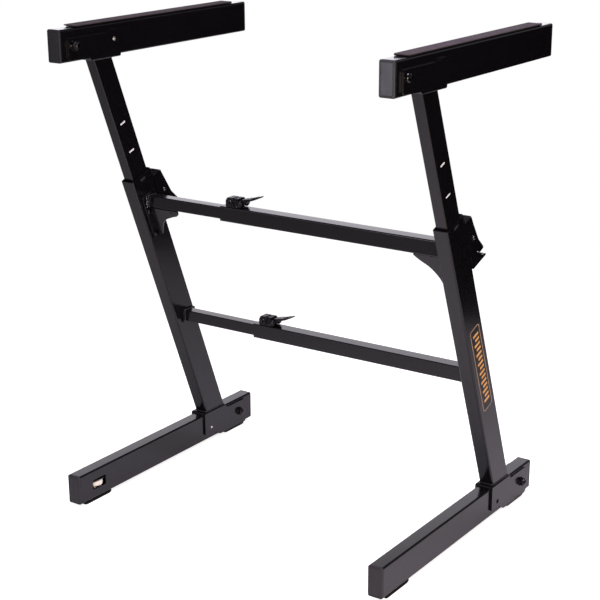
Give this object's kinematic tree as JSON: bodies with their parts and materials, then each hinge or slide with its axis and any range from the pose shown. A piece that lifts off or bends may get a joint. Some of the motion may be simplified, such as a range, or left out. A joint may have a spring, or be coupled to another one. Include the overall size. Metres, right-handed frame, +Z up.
{
  "type": "keyboard stand",
  "caption": "Folding Z-frame keyboard stand with leaning telescopic uprights, ribbed support arms, level feet and telescoping crossbars.",
  "frame": {"origin": "on the floor under the middle of the whole stand", "axes": "X across the stand from the left frame to the right one, -Y towards the player, Z up"},
  "size_m": [0.6306, 0.4834, 0.7842],
  "materials": {
    "left_arm_beam": "satin black powder coat on steel",
    "left_arm_bracket": "satin black powder coat on steel",
    "left_arm_button": "bright nickel-plated steel",
    "left_arm_front_cap": "satin dark grey moulded plastic",
    "left_arm_pad": "matt dark grey-brown rubber",
    "left_arm_pivot_bolt": "black-zinc plated steel",
    "left_arm_rear_cap": "satin dark grey moulded plastic",
    "left_foot_beam": "satin black powder coat on steel",
    "left_foot_button": "bright nickel-plated steel",
    "left_foot_front_cap": "satin dark grey moulded plastic",
    "left_foot_front_pad": "matt dark grey-brown rubber",
    "left_foot_pivot_bolt": "black-zinc plated steel",
    "left_foot_rear_cap": "satin dark grey moulded plastic",
    "left_foot_rear_pad": "matt dark grey-brown rubber",
    "left_guide_bush": "black moulded plastic",
    "left_gusset": "satin black powder coat on steel",
    "left_height_rack": "bright nickel-plated steel",
    "left_latch_housing": "satin black powder coat on steel",
    "left_lever_pin": "bright nickel-plated steel",
    "left_lever_spring": "bright nickel-plated steel",
    "left_lower_bracket": "satin black powder coat on steel",
    "left_release_lever": "satin black powder coat on steel",
    "left_upright_inner": "satin black powder coat on steel",
    "left_upright_outer": "satin black powder coat on steel",
    "levelling_screw": "bright nickel-plated steel",
    "levelling_wheel": "bright nickel-plated steel",
    "lower_cam_lever": "black moulded plastic",
    "lower_cam_pin": "bright nickel-plated steel",
    "lower_clamp_body": "black moulded plastic",
    "lower_inner_bar": "satin black powder coat on steel",
    "lower_outer_bar": "satin black powder coat on steel",
    "right_arm_beam": "satin black powder coat on steel",
    "right_arm_bracket": "satin black powder coat on steel",
    "right_arm_button": "bright nickel-plated steel",
    "right_arm_front_cap": "satin dark grey moulded plastic",
    "right_arm_pad": "matt dark grey-brown rubber",
    "right_arm_pivot_bolt": "black-zinc plated steel",
    "right_arm_rear_cap": "satin dark grey moulded plastic",
    "right_foot_beam": "satin black powder coat on steel",
    "right_foot_button": "bright nickel-plated steel",
    "right_foot_front_cap": "satin dark grey moulded plastic",
    "right_foot_front_pad": "matt dark grey-brown rubber",
    "right_foot_pivot_bolt": "black-zinc plated steel",
    "right_foot_rear_cap": "satin dark grey moulded plastic",
    "right_foot_rear_pad": "matt dark grey-brown rubber",
    "right_guide_bush": "black moulded plastic",
    "right_gusset": "satin black powder coat on steel",
    "right_height_rack": "bright nickel-plated steel",
    "right_latch_housing": "satin black powder coat on steel",
    "right_lever_pin": "bright nickel-plated steel",
    "right_lever_spring": "bright nickel-plated steel",
    "right_lower_bracket": "satin black powder coat on steel",
    "right_release_lever": "satin black powder coat on steel",
    "right_upright_inner": "satin black powder coat on steel",
    "right_upright_outer": "satin black powder coat on steel",
    "upper_cam_lever": "black moulded plastic",
    "upper_cam_pin": "bright nickel-plated steel",
    "upper_clamp_body": "black moulded plastic",
    "upper_inner_bar": "satin black powder coat on steel",
    "upper_outer_bar": "satin black powder coat on steel"
  },
  "bodies": {
    "left_frame": {"left_lower_bracket": "left_lower_bracket", "left_foot_pivot_bolt": "left_foot_pivot_bolt", "left_upright_outer": "left_upright_outer", "left_guide_bush": "left_guide_bush", "left_latch_housing": "left_latch_housing", "left_lever_pin": "left_lever_pin", "left_lever_spring": "left_lever_spring", "left_gusset": "left_gusset", "upper_inner_bar": "upper_inner_bar", "lower_inner_bar": "lower_inner_bar"},
    "right_frame": {"right_lower_bracket": "right_lower_bracket", "right_foot_pivot_bolt": "right_foot_pivot_bolt", "right_upright_outer": "right_upright_outer", "right_guide_bush": "right_guide_bush", "right_latch_housing": "right_latch_housing", "right_lever_pin": "right_lever_pin", "right_lever_spring": "right_lever_spring", "right_gusset": "right_gusset", "upper_outer_bar": "upper_outer_bar", "lower_outer_bar": "lower_outer_bar", "upper_clamp_body": "upper_clamp_body", "lower_clamp_body": "lower_clamp_body", "upper_cam_pin": "upper_cam_pin", "lower_cam_pin": "lower_cam_pin"},
    "left_riser": {"left_upright_inner": "left_upright_inner", "left_height_rack": "left_height_rack", "left_arm_bracket": "left_arm_bracket", "left_arm_pivot_bolt": "left_arm_pivot_bolt"},
    "left_arm": {"left_arm_beam": "left_arm_beam", "left_arm_front_cap": "left_arm_front_cap", "left_arm_rear_cap": "left_arm_rear_cap", "left_arm_pad": "left_arm_pad"},
    "left_foot": {"left_foot_beam": "left_foot_beam", "left_foot_front_cap": "left_foot_front_cap", "left_foot_rear_cap": "left_foot_rear_cap", "left_foot_front_pad": "left_foot_front_pad", "left_foot_rear_pad": "left_foot_rear_pad"},
    "left_foot_button": {"left_foot_button": "left_foot_button"},
    "left_arm_button": {"left_arm_button": "left_arm_button"},
    "left_release_lever": {"left_release_lever": "left_release_lever"},
    "right_riser": {"right_upright_inner": "right_upright_inner", "right_height_rack": "right_height_rack", "right_arm_bracket": "right_arm_bracket", "right_arm_pivot_bolt": "right_arm_pivot_bolt"},
    "right_arm": {"right_arm_beam": "right_arm_beam", "right_arm_front_cap": "right_arm_front_cap", "right_arm_rear_cap": "right_arm_rear_cap", "right_arm_pad": "right_arm_pad"},
    "right_foot": {"right_foot_beam": "right_foot_beam", "right_foot_front_cap": "right_foot_front_cap", "right_foot_rear_cap": "right_foot_rear_cap", "right_foot_front_pad": "right_foot_front_pad", "right_foot_rear_pad": "right_foot_rear_pad"},
    "right_foot_button": {"right_foot_button": "right_foot_button"},
    "right_arm_button": {"right_arm_button": "right_arm_button"},
    "right_release_lever": {"right_release_lever": "right_release_lever"},
    "upper_cam_lever": {"upper_cam_lever": "upper_cam_lever"},
    "lower_cam_lever": {"lower_cam_lever": "lower_cam_lever"},
    "levelling_wheel": {"levelling_wheel": "levelling_wheel"},
    "levelling_screw": {"levelling_screw": "levelling_screw"}
  },
  "joints": [
    {"name": "width_slide", "type": "slide", "parent": "left_frame", "child": "right_frame", "axis": [1, 0, 0], "range_m": [-0.085, 0.2]},
    {"name": "left_height_slide", "type": "slide", "parent": "left_frame", "child": "left_riser", "axis": [0, -0.3623, 0.9321], "range_m": [-0.103, 0.206]},
    {"name": "left_arm_fold", "type": "hinge", "parent": "left_riser", "child": "left_arm", "pos_m": [-0.29485, -0.20165, 0.755], "axis": [1, 0, 0], "range_deg": [0, 285]},
    {"name": "left_foot_fold", "type": "hinge", "parent": "left_frame", "child": "left_foot", "pos_m": [-0.29485, 0.19935, 0.031], "axis": [1, 0, 0], "range_deg": [0, 286]},
    {"name": "left_foot_button_push", "type": "slide", "parent": "left_foot", "child": "left_foot_button", "axis": [-1, 0, 0], "range_m": [0, 0.004], "stiffness_N_per_m": 600, "springref_m": -0.004},
    {"name": "left_arm_button_push", "type": "slide", "parent": "left_arm", "child": "left_arm_button", "axis": [-1, 0, 0], "range_m": [0, 0.004], "stiffness_N_per_m": 600, "springref_m": -0.004},
    {"name": "left_release_squeeze", "type": "hinge", "parent": "left_frame", "child": "left_release_lever", "pos_m": [-0.29485, 0.00447, 0.49395], "axis": [-1, 0, 0], "range_deg": [0, 9], "stiffness_Nm_per_rad": 0.8, "springref_deg": -17.19},
    {"name": "right_height_slide", "type": "slide", "parent": "right_frame", "child": "right_riser", "axis": [0, -0.3623, 0.9321], "range_m": [-0.103, 0.206]},
    {"name": "right_arm_fold", "type": "hinge", "parent": "right_riser", "child": "right_arm", "pos_m": [0.28995, -0.20165, 0.755], "axis": [1, 0, 0], "range_deg": [0, 285]},
    {"name": "right_foot_fold", "type": "hinge", "parent": "right_frame", "child": "right_foot", "pos_m": [0.28995, 0.19935, 0.031], "axis": [1, 0, 0], "range_deg": [0, 286]},
    {"name": "right_foot_button_push", "type": "slide", "parent": "right_foot", "child": "right_foot_button", "axis": [1, 0, 0], "range_m": [0, 0.004], "stiffness_N_per_m": 600, "springref_m": -0.004},
    {"name": "right_arm_button_push", "type": "slide", "parent": "right_arm", "child": "right_arm_button", "axis": [1, 0, 0], "range_m": [0, 0.004], "stiffness_N_per_m": 600, "springref_m": -0.004},
    {"name": "right_release_squeeze", "type": "hinge", "parent": "right_frame", "child": "right_release_lever", "pos_m": [0.28995, 0.00447, 0.49395], "axis": [-1, 0, 0], "range_deg": [0, 9], "stiffness_Nm_per_rad": 0.8, "springref_deg": -17.19},
    {"name": "upper_cam_swing", "type": "hinge", "parent": "right_frame", "child": "upper_cam_lever", "pos_m": [-0.09095, -0.03135, 0.50165], "axis": [0, -1, 0], "range_deg": [0, 88]},
    {"name": "lower_cam_swing", "type": "hinge", "parent": "right_frame", "child": "lower_cam_lever", "pos_m": [-0.09095, 0.05465, 0.28045], "axis": [0, -1, 0], "range_deg": [0, 88]},
    {"name": "levelling_spin", "type": "hinge", "parent": "left_foot", "child": "levelling_wheel", "pos_m": [-0.29485, -0.19215, 0.0293], "axis": [0, 0, 1], "range_deg": [0, 2340]},
    {"name": "levelling_travel", "type": "slide", "parent": "left_foot", "child": "levelling_screw", "axis": [0, 0, -1], "range_m": [0, 0.0081]}
  ],
  "couplings": [
    {"joint": "levelling_spin", "follows": "levelling_travel", "rad_per_m": 5026.5}
  ]
}
